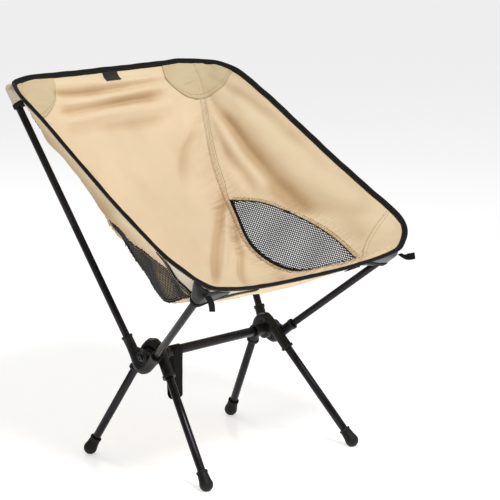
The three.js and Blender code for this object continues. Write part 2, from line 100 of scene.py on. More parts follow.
def mesh_top(v):
    """The mesh window's top edge, or the seam where there is no window."""
    along = (v - MESH_FROM) / (MESH_TO - MESH_FROM)
    inside = ((along > 0) & (along < 1))[..., None]
    return np.where(inside, curve(MESH_CURVE, along), curve(SEAT_SEAM, v))


def mesh_share(v):
    top = mesh_top(v)
    low = np.linalg.norm(top - curve(SEAT_SEAM, v), axis=-1)
    return low / (low + np.linalg.norm(top - curve(SEAT_EDGE, v), axis=-1))


def mesh_w(v):
    """How far across the half seat the mesh window's top edge is."""
    return SEAM_W + (1 - SEAM_W) * mesh_share(np.asarray(v, float))


def smooth(a, low, high):
    """0 below low, 1 above high, smooth between."""
    t = np.clip((a - low) / (high - low), 0, 1)
    return t * t * (3 - 2 * t)


def seat(w, v):
    """The smooth seat in metres: w is -1 at the right edge and 1 at the left, v runs from top to front."""
    w, v = np.broadcast_arrays(np.asarray(w, float), np.asarray(v, float))
    across = np.abs(w)
    seam, centre, edge, top = curve(SEAT_SEAM, v), curve(SEAT_CENTRE, v), curve(SEAT_EDGE, v), mesh_top(v)
    share = np.clip(across / SEAM_W, 0, 1)
    fullness = 6 - 3 * smooth(v, 0.35, 0.6)
    inner = centre + (seam - centre) * (share ** fullness)[..., None]
    inner[..., 0] = seam[..., 0] * share
    share = np.clip((across - SEAM_W) / (1 - SEAM_W), 0, 1)[..., None]
    bend = np.clip(mesh_share(v), 1e-6, 1)[..., None]
    below, above = seam + (top - seam) * share / bend, top + (edge - top) * (share - bend) / (1 - bend)
    outer = np.where(share < bend, below, above)
    point = np.where((across <= SEAM_W)[..., None], inner, outer)
    point[..., 0] *= np.where(w < 0, -1, 1)
    return point / 1000


def cut_corner(end, across, along, count=30, fine=420):
    """Places along a rounded corner of the cloth: how far across, and how far along from the end."""
    s = np.linspace(0, 1, count)[:, None]
    start, corner, stop = seat(1 - across, end), seat(1, end), seat(1, abs(end - along))
    arc = (1 - s) ** 2 * start + 2 * s * (1 - s) * corner + s ** 2 * stop
    w, v = np.meshgrid(np.linspace(1 - across, 1, fine), np.linspace(0, along, fine))
    spots = seat(w, np.abs(end - v))
    nearest = [int(np.linalg.norm(spots - p, axis=-1).argmin()) for p in arc]
    return np.maximum.accumulate(w.ravel()[nearest]), np.maximum.accumulate(v.ravel()[nearest])


def corner_places(corner, count, lowest=0.0):
    """Places round a cut corner, from a place across to the side edge."""
    table = np.arange(len(corner[0]))
    first = np.interp(lowest, corner[0], table)
    at = np.linspace(first, table[-1], count)
    return np.interp(at, table, corner[0]), np.interp(at, table, corner[1])


def first_v(w, corner):
    """How far along from its end the cloth starts, at a place across."""
    return np.interp(np.abs(w), corner[0], corner[1])


REAR_CORNER = cut_corner(end=0, across=0.50, along=0.06)
FRONT_CORNER = cut_corner(end=1, across=0.60, along=0.10)


def unit(a):
    return a / np.maximum(np.linalg.norm(a, axis=-1, keepdims=True), 1e-12)


def inward(w, v, step=0.03):
    """The unit normal that points into the bucket."""
    w, v = np.clip(w, -0.94, 0.94), np.clip(v, 0.04, 0.96)
    along = seat(w, v + 0.02) - seat(w, v - 0.02)
    return unit(np.cross(along, seat(w + step, v) - seat(w - step, v)))


def bump(a, centre, width):
    return np.exp(-(((a - centre) / width) ** 2))


# ---------------------------------------------------------------- folds and puckers of the cloth
# Valleys (negative) and ridges under the top edge: place down the back, height in metres, half width, tilt.
TOP_FOLDS = [(0.028, 0.0040, 0.011, 0.010), (0.050, -0.0078, 0.0105, 0.004), (0.076, 0.0062, 0.013, -0.006),
             (0.102, -0.0088, 0.012, -0.012), (0.132, 0.0052, 0.016, -0.02), (0.166, -0.0042, 0.016, -0.03)]
# Folds drawn as lines of places (across, down), with their height in metres and their half width across.
CENTRE_FOLDS = {
    1: [([(0.59, 0.43), (0.532, 0.48), (0.47, 0.52), (0.37, 0.572), (0.245, 0.636), (0.04, 0.72)],
         -0.0088, 0.042),
        ([(0.60, 0.46), (0.555, 0.534), (0.532, 0.578), (0.497, 0.626), (0.328, 0.70), (0.205, 0.77)],
         -0.0070, 0.030),
        ([(0.59, 0.47), (0.53, 0.525), (0.47, 0.57), (0.36, 0.625), (0.20, 0.69)], 0.0052, 0.035),
        ([(0.56, 0.19), (0.485, 0.236), (0.42, 0.26), (0.365, 0.316), (0.33, 0.38)], -0.0052, 0.046),
        ([(0.57, 0.24), (0.52, 0.29), (0.47, 0.34)], 0.0034, 0.045),
        ([(0.57, 0.70), (0.50, 0.76), (0.40, 0.83), (0.31, 0.90)], -0.0046, 0.030)],
    -1: [([(0.59, 0.42), (0.53, 0.47), (0.45, 0.53), (0.33, 0.60), (0.2, 0.67)], -0.0080, 0.042),
         ([(0.60, 0.50), (0.55, 0.56), (0.50, 0.62), (0.36, 0.71), (0.25, 0.78)], -0.0062, 0.032),
         ([(0.57, 0.20), (0.50, 0.25), (0.42, 0.29), (0.36, 0.36)], -0.0048, 0.046)],
}
WING_FOLDS = {
    1: [([(0.70, 0.22), (0.743, 0.288), (0.763, 0.37), (0.782, 0.442), (0.812, 0.576), (0.807, 0.72)],
         -0.0085, 0.036),
        ([(0.64, 0.31), (0.657, 0.354), (0.69, 0.426), (0.715, 0.52)], -0.0060, 0.028),
        ([(0.67, 0.24), (0.70, 0.33), (0.735, 0.43), (0.76, 0.55)], 0.0046, 0.03),
        ([(0.84, 0.2), (0.86, 0.4), (0.89, 0.6), (0.9, 0.75)], 0.0040, 0.05)],
    -1: [([(0.69, 0.20), (0.73, 0.29), (0.76, 0.38), (0.79, 0.47), (0.81, 0.60), (0.80, 0.70)],
          -0.0072, 0.036),
         ([(0.65, 0.33), (0.68, 0.41), (0.71, 0.50)], -0.0052, 0.028),
         ([(0.85, 0.2), (0.87, 0.42), (0.89, 0.62), (0.9, 0.74)], 0.0038, 0.05)],
}


def drawn_folds(side, across, v, table):
    """Height of the folds in a table, fading in and out at the ends of their lines."""
    height = np.zeros(v.shape)
    for s, rows in table.items():
        for line, tall, half in rows:
            line = np.array(line)
            start, end = line[0, 1], line[-1, 1]
            middle = np.interp(v, line[:, 1], line[:, 0])
            fade = smooth(v, start - 0.02, start + 0.05) * smooth(-v, -end - 0.03, -end + 0.07)
            height += np.where(side == s, tall * bump(across, middle, half) * fade, 0)
    return height


def folds(w, v):
    """How far the cloth stands off its smooth surface, in metres, positive into the bucket."""
    w, v = np.broadcast_arrays(np.asarray(w, float), np.asarray(v, float))
    side, across = np.where(w < 0, -1, 1), np.abs(w)
    on_centre = smooth(-across, -SEAM_W, -SEAM_W + 0.05)
    rim = smooth(1 - across, 0, 0.05) * smooth(v, 0, 0.015) * smooth(1 - v, 0, 0.03)
    height = np.zeros(w.shape)
    span = smooth(w, -0.44, -0.34) * smooth(-w, -0.42, -0.22)
    for place, tall, half, tilt in TOP_FOLDS:
        line = place + tilt * w + 0.006 * np.sin(5 * w + 40 * place)
        height += tall * bump(v, line, half) * span * (1 - 0.35 * np.cos(7 * w + 90 * place))
    height += drawn_folds(side, across, v, CENTRE_FOLDS)
    height *= on_centre
    # Slanting folds on the side panels, from the rear corner down towards the front.
    share = np.clip((across - SEAM_W) / (1 - SEAM_W), 0, 1)
    wing = smooth(share, 0.02, 0.22) * smooth(1 - share, 0.0, 0.22)
    wing = wing * smooth(v, 0.07, 0.2) * smooth(-v, -0.95, -0.6)
    phase = 2.05 * share - 2.6 * v + 0.25 * np.sin(9 * v + 2 * side) + 0.08 * side
    wave = np.sin(TAU * phase)
    height += 0.0030 * (wave - 0.35 * wave ** 2) * wing
    drawn = np.where(across > SEAM_W, drawn_folds(side, across, v, WING_FOLDS), 0)
    height += drawn * smooth(share, 0.0, 0.15)
    # A shallow valley above the mesh window.
    over = share - mesh_share(v)
    valley = 0.003 * bump(over, 0.2, 0.12) * smooth(over, 0.0, 0.05)
    height -= valley * smooth(v, MESH_FROM, MESH_FROM + 0.08) * smooth(-v, -MESH_TO, -MESH_TO + 0.06)
    # Slow unevenness all over.
    height += 0.0013 * np.sin(11 * w + 4 * np.sin(7 * v)) * np.sin(13 * v + 2 * w)
    height += 0.0007 * np.sin(31 * w + 5 * np.sin(9 * v)) * np.sin(23 * v - 6 * w)
    # Puckers along the seams, closest round the mesh window.
    length = SEAM_LENGTH * v
    jitter = 1.2 * np.sin(0.11 * length) + 0.8 * np.sin(0.047 * length + side)
    pull = np.sin(TAU * length / 8.7 + jitter) + 0.5 * np.sin(TAU * length / 5.3 + 2 * jitter)
    tight = 0.35 + 0.65 * smooth(v, 0.36, 0.5)
    inner_gap = np.clip((SEAM_W - across) / SEAM_W, 0, 1)
    height += np.where(across <= SEAM_W, 0.0013 * tight * pull * bump(inner_gap, 0.08, 0.09), 0)
    slow = np.sin(TAU * length / 27 + 2 * jitter) * np.sin(TAU * length / 61 + 1.3)
    height += np.where(across <= SEAM_W, 0.0030 * tight * slow * bump(inner_gap, 0.13, 0.09), 0)
    beyond = np.clip(over, 0, 1)
    height += np.where(across > SEAM_W, 0.0014 * tight * pull * bump(beyond, 0.06, 0.10), 0)
    return height * rim


def cloth(w, v, offset=0.0, flutter=None):
    """Points on the folded cloth, offset towards the inside of the bucket."""
    lift = folds(w, v) if flutter is None else flutter(w, v)
    return seat(w, v) + inward(w, v) * (lift + offset)[..., None]


# ---------------------------------------------------------------- node materials
def node(tree, kind, sockets=None, **settings):
    made = tree.nodes.new(kind)
    for key, value in settings.items():
        setattr(made, key, value)
    for key, value in (sockets or {}).items():
        target = made.inputs[key]
        if isinstance(value, bpy.types.NodeSocket):
            tree.links.new(value, target)
        else:
            target.default_value = value
    return made


def new_material(name):
    made = bpy.data.materials.new(name)
    made.use_nodes = True
    tree = made.node_tree
    return made, tree, tree.nodes["Principled BSDF"]


def ramp(tree, fac, stops):
    made = node(tree, "ShaderNodeValToRGB", {"Fac": fac})
    band = made.color_ramp
    while len(band.elements) < len(stops):
        band.elements.new(0.5)
    for element, (place, color) in zip(band.elements, stops):
        element.position = place
        element.color = (*color, 1)
    return made.outputs["Color"]


def math_node(tree, operation, a, b=0.5):
    return node(tree, "ShaderNodeMath", {0: a, 1: b}, operation=operation).outputs[0]


def mix_color(tree, fac, a, b):
    made = node(tree, "ShaderNodeMix", {"Factor": fac}, data_type="RGBA")
    for key, value in ((6, a), (7, b)):
        if isinstance(value, bpy.types.NodeSocket):
            tree.links.new(value, made.inputs[key])
        else:
            made.inputs[key].default_value = (*value, 1)
    return made.outputs[2]


def linear(hex_color):
    rgb = [int(hex_color[i:i + 2], 16) / 255 for i in (1, 3, 5)]
    return [c / 12.92 if c <= 0.04045 else ((c + 0.055) / 1.055) ** 2.4 for c in rgb]


def bump_from(tree, height, distance, strength=1.0, normal=None):
    sockets = {"Height": height, "Distance": distance, "Strength": strength}
    if normal is not None:
        sockets["Normal"] = normal
    return node(tree, "ShaderNodeBump", sockets).outputs["Normal"]


def noise(tree, vector, scale, detail):
    sockets = {"Vector": vector, "Scale": scale, "Detail": detail}
    return node(tree, "ShaderNodeTexNoise", sockets).outputs["Fac"]


def wave_scale(pitch):
    """The wave texture's scale for a pitch in metres, since it has 20 waves in a length of 2 pi."""
    return TAU / 20 / pitch


def woven(name, hex_color, shade, pitch, roughness, sheen, depth):
    """A plain weave over a UV map in metres, with soft blotches and painted shade in the fold valleys and
    between the threads.
    """
    made, tree, shader = new_material(name)
    uv = node(tree, "ShaderNodeUVMap").outputs["UV"]
    waves = {"Vector": uv, "Scale": wave_scale(pitch), "Distortion": 0.25, "Detail": 1.0}
    warp = node(tree, "ShaderNodeTexWave", waves, bands_direction="X").outputs["Fac"]
    weft = node(tree, "ShaderNodeTexWave", waves, bands_direction="Y").outputs["Fac"]
    weave = math_node(tree, "MAXIMUM", warp, weft)
    where = node(tree, "ShaderNodeTexCoord").outputs["Object"]
    blotch = noise(tree, where, 7.0, 5.0)
    slub = noise(tree, where, 420.0, 2.0)
    base = linear(hex_color)
    tone = ramp(tree, blotch, [(0.3, [c * 0.93 for c in base]), (0.7, [min(1, c * 1.04) for c in base])])
    tone = mix_color(tree, math_node(tree, "MULTIPLY", slub, 0.16), tone, [c * shade for c in base])
    # Painted shade: the fold valleys are darkened to a deeper, warmer tone.
    valley = node(tree, "ShaderNodeAttribute", attribute_name="valley").outputs["Fac"]
    painted_valley_shade = [c * k for c, k in zip(base, (0.66, 0.56, 0.44))]
    tone = mix_color(tree, valley, tone, painted_valley_shade)
    # Painted shade in the gaps between the threads of the weave.
    gap = math_node(tree, "MULTIPLY", math_node(tree, "SUBTRACT", 1.0, weave), 0.22)
    tree.links.new(mix_color(tree, gap, tone, [c * 0.5 for c in base]), shader.inputs["Base Color"])
    shader.inputs["Roughness"].default_value = roughness
    shader.inputs["Specular IOR Level"].default_value = 0.18
    shader.inputs["Sheen Weight"].default_value = sheen
    shader.inputs["Sheen Roughness"].default_value = 0.45
    surface = math_node(tree, "ADD", weave, math_node(tree, "MULTIPLY", slub, 0.5))
    tree.links.new(bump_from(tree, surface, depth, 0.5), shader.inputs["Normal"])
    return made


def ribbed(name, hex_color, pitch, roughness, sheen=0.2):
    """Black woven tape: ribs across it, with a painted highlight on them, and fine lint."""
    made, tree, shader = new_material(name)
    uv = node(tree, "ShaderNodeUVMap").outputs["UV"]
    rib = node(tree, "ShaderNodeTexWave", {"Vector": uv, "Scale": wave_scale(pitch), "Distortion": 0.3},
               bands_direction="Y").outputs["Fac"]
    where = node(tree, "ShaderNodeTexCoord").outputs["Object"]
    lint = noise(tree, where, 260.0, 4.0)
    base = linear(hex_color)
    tone = ramp(tree, lint, [(0.35, [c * 0.7 for c in base]), (0.75, [c * 1.6 + 0.001 for c in base])])
    # Painted highlight: the ribs are lightened.
    tree.links.new(mix_color(tree, math_node(tree, "MULTIPLY", rib, 0.4), tone, [c * 1.5 for c in base]),
                   shader.inputs["Base Color"])
    shader.inputs["Specular IOR Level"].default_value = 0.22
    shader.inputs["Roughness"].default_value = roughness
    shader.inputs["Sheen Weight"].default_value = sheen
    height = math_node(tree, "ADD", rib, math_node(tree, "MULTIPLY", lint, 0.6))
    tree.links.new(bump_from(tree, height, 0.0004, 0.7), shader.inputs["Normal"])
    return made


def hard(name, hex_color, worn_hex, roughness, metallic, grain_scale, grain_depth):
    """Metal or plastic with fine grain, uneven gloss and edges that are worn lighter."""
    made, tree, shader = new_material(name)
    where = node(tree, "ShaderNodeTexCoord").outputs["Object"]
    grain = noise(tree, where, grain_scale, 4.0)
    broad = noise(tree, where, 23.0, 5.0)
    base, worn = linear(hex_color), linear(worn_hex)
    tone = ramp(tree, broad, [(0.35, [c * 0.86 for c in base]), (0.7, [c * 1.12 for c in base])])
    edge = node(tree, "ShaderNodeNewGeometry").outputs["Pointiness"]
    rub = ramp(tree, edge, [(0.52, [0, 0, 0]), (0.60, [1, 1, 1])])
    rub = math_node(tree, "MULTIPLY", rub, math_node(tree, "MULTIPLY", broad, 0.9))
    tree.links.new(mix_color(tree, rub, tone, worn), shader.inputs["Base Color"])
    low, high = max(0.05, roughness - 0.10), min(1.0, roughness + 0.10)
    spread = {"Value": broad, "From Min": 0.3, "From Max": 0.7, "To Min": low, "To Max": high}
    gloss = node(tree, "ShaderNodeMapRange", spread).outputs["Result"]
    tree.links.new(gloss, shader.inputs["Roughness"])
    shader.inputs["Metallic"].default_value = metallic
    rounded = node(tree, "ShaderNodeBevel", {"Radius": 0.0006}, samples=4).outputs["Normal"]
    tree.links.new(bump_from(tree, grain, grain_depth, 0.5, rounded), shader.inputs["Normal"])
    return made


FABRIC = woven("sand_fabric", "#E4CEAC", 0.80, 0.0009, 0.85, 0.03, 0.00014)
PATCH = woven("grey_sand_patch", "#CDBB98", 0.82, 0.0016, 0.74, 0.10, 0.00022)
LINER = woven("pale_patch", "#D3C8B4", 0.82, 0.0016, 0.74, 0.10, 0.00022)
TAPE = ribbed("black_tape", "#0C0A09", 0.0016, 0.75, 0.0)
WEBBING = ribbed("black_webbing", "#0B0A0A", 0.0021, 0.8, 0.0)
NET = ribbed("net_cord", "#1B1A1B", 0.0011, 0.7, 0.05)
LABEL = ribbed("label_weave", "#151314", 0.0009, 0.55)
THREAD = ribbed("sand_thread", "#96805A", 0.0012, 0.7)
BLACK_THREAD = ribbed("black_thread", "#1C1A19", 0.0012, 0.7)
PALE_THREAD = ribbed("pale_thread", "#B9A98A", 0.0012, 0.7)
TUBE = hard("anodised_tube", "#110F12", "#4a474d", 0.27, 0.80, 900.0, 0.00003)
PLASTIC = hard("moulded_plastic", "#0A090A", "#2a282a", 0.42, 0.0, 1100.0, 0.00006)
RUBBER = hard("foot_rubber", "#0B0A0A", "#353334", 0.62, 0.0, 700.0, 0.0001)
STEEL = hard("dark_screw", "#3A393C", "#8a888c", 0.30, 0.9, 900.0, 0.00002)
CORD = hard("shock_cord", "#141313", "#2b2a2a", 0.75, 0.0, 1500.0, 0.0002)
COATED = hard("coated_pocket", "#0A0A0B", "#232124", 0.34, 0.0, 150.0, 0.0006)
for dark in (PLASTIC, RUBBER, CORD, COATED):
    dark.node_tree.nodes["Principled BSDF"].inputs["Specular IOR Level"].default_value = 0.28


# ---------------------------------------------------------------- mesh helpers
def lay_uv(data, uv):
    """A UV map in metres from one pair for each point."""
    layer = data.uv_layers.new(name="UVMap")
    index = np.empty(len(data.loops), int)
    data.loops.foreach_get("vertex_index", index)
    layer.data.foreach_set("uv", np.asarray(uv, np.float32).reshape(-1, 2)[index].ravel())


def riding(name, data, material, body="seat_frame"):
    """An object round a mesh, with its one material, that rides on a body."""
    data.materials.clear()
    data.materials.append(material)
    obj = bpy.data.objects.new(name, data)
    bpy.context.scene.collection.objects.link(obj)
    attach(obj, body)
    return obj


def piece(name, points, faces, material, uv, body="seat_frame"):
    """A riding object from points and faces."""
    data = bpy.data.meshes.new(name)
    points = [tuple(p) for p in np.asarray(points).reshape(-1, 3)]
    data.from_pydata(points, [], [tuple(map(int, f)) for f in faces])
    lay_uv(data, uv)
    data.shade_smooth()
    data.validate()
    return riding(name, data, material, body)


def grid_faces(rows, cols, close_rows=False, close_cols=False):
    i, j = np.meshgrid(np.arange(rows - (not close_rows)), np.arange(cols - (not close_cols)), indexing="ij")
    i2, j2 = (i + 1) % rows, (j + 1) % cols
    return np.stack([i * cols + j, i * cols + j2, i2 * cols + j2, i2 * cols + j], -1).reshape(-1, 4)


def grid_uv(points):
    """UV in metres over a grid of points: across it and along it."""
    across = np.linalg.norm(np.diff(points, axis=1), axis=-1).cumsum(1)
    across = np.concatenate([np.zeros((len(points), 1)), across], 1)
    across -= across[:, points.shape[1] // 2][:, None]
    along = np.linalg.norm(np.diff(points, axis=0), axis=-1).mean(1).cumsum()
    along = np.concatenate([[0], along])[:, None] + 0 * across
    return np.stack([across, along], -1)


def thicken(obj, thickness, offset=0.0):
    mod = obj.modifiers.new("thickness", "SOLIDIFY")
    mod.thickness = thickness
    mod.offset = offset
    return obj


def measures(points):
    """A grid's widest and longest run, and its area."""
    wide = np.linalg.norm(np.diff(points, axis=1), axis=-1).sum(1).max()
    long = np.linalg.norm(np.diff(points, axis=0), axis=-1).sum(0).max()
    a, b = points[1:, 1:] - points[:-1, :-1], points[1:, :-1] - points[:-1, 1:]
    return float(wide), float(long), float(np.linalg.norm(np.cross(a, b), axis=-1).sum() / 2)


def declare(obj, points, held="stretched", rests_on=(), with_pieces=()):
    """Works out a sheet's flat size over the smooth surface, rounded up, and its area, and does nothing more
    with them.
    """
    wide, long, area = measures(points)
    wide, long = round(wide + 0.0005, 3), round(long + 0.0005, 3)
    long = max(long, round(area / wide + 0.0005, 3))


def cloth_piece(name, w, v, material, slot, offset=0.0, thickness=0.0009, flutter=None, **declared):
    """A sheet of cloth over a grid of places, with its fold valleys marked for the material's painted shade.
    """
    points = cloth(w, v, offset, flutter)
    obj = piece(name, points, grid_faces(*w.shape), material, grid_uv(points))
    # Painted shade: how deep each fold valley is, for the material to darken it.
    depth = np.clip(-folds(w, v) / DEEPEST_FOLD, 0, 1) ** 1.1 * 0.8
    valley = obj.data.attributes.new("valley", "FLOAT", "POINT")
    valley.data.foreach_set("value", depth.ravel().astype(np.float32))
    declare(obj, seat(w, v), **declared)
    return thicken(obj, thickness)


def run_along(line):
    """How far along a line each of its points is."""
    return np.concatenate([[0], np.linalg.norm(np.diff(line, axis=0), axis=1).cumsum()])


def resample(points, normals, pitch):
    """Evenly spaced points along a line, with their normals and directions."""
    run = run_along(points)
    count = max(2, int(run[-1] / pitch))
    places = (np.arange(count) + 0.5) * run[-1] / count
    at = np.stack([np.interp(places, run, points[:, k]) for k in range(3)], 1)
    nor = unit(np.stack([np.interp(places, run, normals[:, k]) for k in range(3)], 1))
    return at, nor, unit(np.gradient(at, axis=0))


def stitch_rows(name, rows, material, pitch=0.0042, length=0.0029, radius=0.00042, across=False):
    """Rows of sewn stitches as one mesh: each stitch is a short thread that dips in at both ends."""
    profile = [(-0.5, 0.15, -0.7), (-0.3, 0.9, 0.2), (0.0, 1.0, 0.5), (0.3, 0.9, 0.2), (0.5, 0.15, -0.7)]
    turns = np.arange(5) / 5 * TAU
    points, faces, uvs, start = [], [], [], 0
    one = grid_faces(len(profile), len(turns), close_cols=True)
    for line, normals in rows:
        at, nor, along = resample(line, normals, pitch)
        side = unit(np.cross(nor, along))
        if across:
            side, along = along, side
        rings = []
        for run, wide, lift in profile:
            for turn in turns:
                out = radius * wide * (math.cos(turn) * side + math.sin(turn) * nor)
                rings.append(at + along * run * length + nor * lift * radius + out)
        block = np.stack(rings, 1)
        points.append(block.reshape(-1, 3))
        stitch_uv = np.repeat([[0, run * length] for run, _, _ in profile], len(turns), axis=0)
        uvs.append(np.tile(stitch_uv, (len(at), 1)))
        count = len(profile) * len(turns)
        ends = [list(range(len(turns))), list(range(count - 1, count - 1 - len(turns), -1))]
        for k in range(len(at)):
            faces.extend((one + start).tolist())
            faces.extend([[i + start for i in end] for end in ends])
            start += count
    return piece(name, np.concatenate(points), faces, material, np.concatenate(uvs))


def row_on_cloth(w, v, offset):
    return cloth(w, v, offset), inward(w, v)


def step_w(w, v, millimetres):
    """A distance across the cloth as a change of w."""
    speed = np.linalg.norm(seat(w + 0.004, v) - seat(w - 0.004, v), axis=-1) / 0.008
    return millimetres / 1000 / np.maximum(speed, 0.05)


def band(name, w, v, low, high, offset, thickness, material, slot, columns=6):
    """A tape on the cloth from low to high millimetres across a line of places."""
    low, high = (np.broadcast_to(np.asarray(edge, float), w.shape)[:, None] for edge in (low, high))
    shares = low + (high - low) * np.linspace(0, 1, columns)
    sign = np.where(w < 0, -1, 1)
    ww = w[:, None] + sign[:, None] * step_w(w, v, 1.0)[:, None] * shares
    vv = v[:, None] + 0 * ww
    points = cloth(ww, vv, offset)
    obj = piece(name, points, grid_faces(*ww.shape), material, grid_uv(points))
    # No painted valley shade on this band.
    obj.data.attributes.new("valley", "FLOAT", "POINT")
    return thicken(obj, thickness)


# ---------------------------------------------------------------- the cloth panels
def lerp(a, b, t):
    return a + (b - a) * t


v_rows = np.linspace(0, 1, 260)[:, None]
w_cols = np.linspace(-SEAM_W, SEAM_W, 190)[None]
w_grid, v_grid = np.broadcast_arrays(w_cols, v_rows - first_v(w_cols, FRONT_CORNER) * smooth(v_rows, 0.8, 1))
centre = cloth_piece("seat_centre_cloth", w_grid, v_grid, FABRIC, "fabric",
                     rests_on=["pole_tip_front_left", "pole_tip_rear_left"])
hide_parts("centre_panel")


def side_grid(sign, rows, cols):
    """Places over a side panel, from the seam or the window to the side edge with its cut corners."""
    beside = SEAM_W + 0.001
    rear, front = corner_places(REAR_CORNER, 18, beside), corner_places(FRONT_CORNER, 24, beside)
    middle = np.linspace(rear[1][-1], 1 - front[1][-1], rows)[1:-1]
    v = np.concatenate([rear[1], middle, 1 - front[1][::-1]])[:, None]
    high = np.concatenate([rear[0], 1 + 0 * middle, front[0][::-1]])[:, None]
    share = np.linspace(0, 1, cols)[None]
    w = lerp(mesh_w(v), high, share)
    return sign * w, v + 0 * w


def net_flutter(w, v):
    """The net hangs in a few soft waves."""
    share = np.clip((np.abs(w) - SEAM_W) / np.maximum(mesh_w(v) - SEAM_W, 0.01), 0, 1)
    belly = np.sin(np.pi * share)
    return belly * (0.0028 * np.sin(TAU * (v * 7.5 + 0.2 * share)) - 0.002)


NET_PITCH, NET_HALF, NET_STRANDS, NET_TURN = 0.0036, 0.00078, 44, 8


def net_window(name, sign):
    """A net of woven square cells, laid over the window's surface."""
    v = np.linspace(MESH_FROM - 0.004, MESH_TO + 0.004, 150)[:, None]
    share = np.linspace(-0.03, 1.03, 40)[None]
    w = sign * (SEAM_W + np.maximum(mesh_w(v) - SEAM_W, 0.012) * share)
    v = v + 0 * w
    smooth_net = cloth(w, v, NET_AT, net_flutter)
    faces = grid_faces(*w.shape)
    tree = BVHTree.FromPolygons([Vector(p) for p in smooth_net.reshape(-1, 3)], faces.tolist())
    middle = smooth_net.reshape(-1, 3).mean(0)
    along = unit(smooth_net[-1, 20] - smooth_net[0, 20])
    normal = inward(np.array(sign * (SEAM_W + 0.1)), np.array(0.68))
    normal = unit(normal - along * (normal @ along))
    across = np.cross(normal, along)
    ticks = np.arange(-NET_STRANDS, NET_STRANDS + 1) * NET_PITCH
    lines = np.sort(np.concatenate([ticks - NET_HALF, ticks + NET_HALF]))
    size = len(lines)
    turn = math.radians(NET_TURN)
    points, hit = np.zeros((size, size, 3)), np.zeros((size, size), bool)
    long_way = along * math.cos(turn) + across * math.sin(turn)
    cross_way = across * math.cos(turn) - along * math.sin(turn)
    for i, a in enumerate(lines):
        for j, b in enumerate(lines):
            origin = middle + long_way * a + cross_way * b + normal * 0.15
            place, _, _, _ = tree.ray_cast(Vector(origin), Vector(-normal), 0.4)
            if place is not None:
                points[i, j], hit[i, j] = place, True
    keep = []
    for i in range(size - 1):
        for j in range(size - 1):
            if i % 2 and j % 2:
                continue
            if hit[i, j] and hit[i + 1, j] and hit[i, j + 1] and hit[i + 1, j + 1]:
                keep.append([i * size + j, (i + 1) * size + j, (i + 1) * size + j + 1, i * size + j + 1])
    used = np.unique(np.array(keep).ravel())
    again = np.full(size * size, -1)
    again[used] = np.arange(len(used))
    faces = again[np.array(keep)]
    flat = points.reshape(-1, 3)[used]
    uv = np.stack([flat @ across, flat @ along], 1)
    obj = piece(name, flat, faces, NET, uv)
    thicken(obj, 0.0007)
    wide, long, whole = measures(smooth_net)
    long = round(long, 3)
    wide = round(max(wide, whole / long), 3)
    return obj


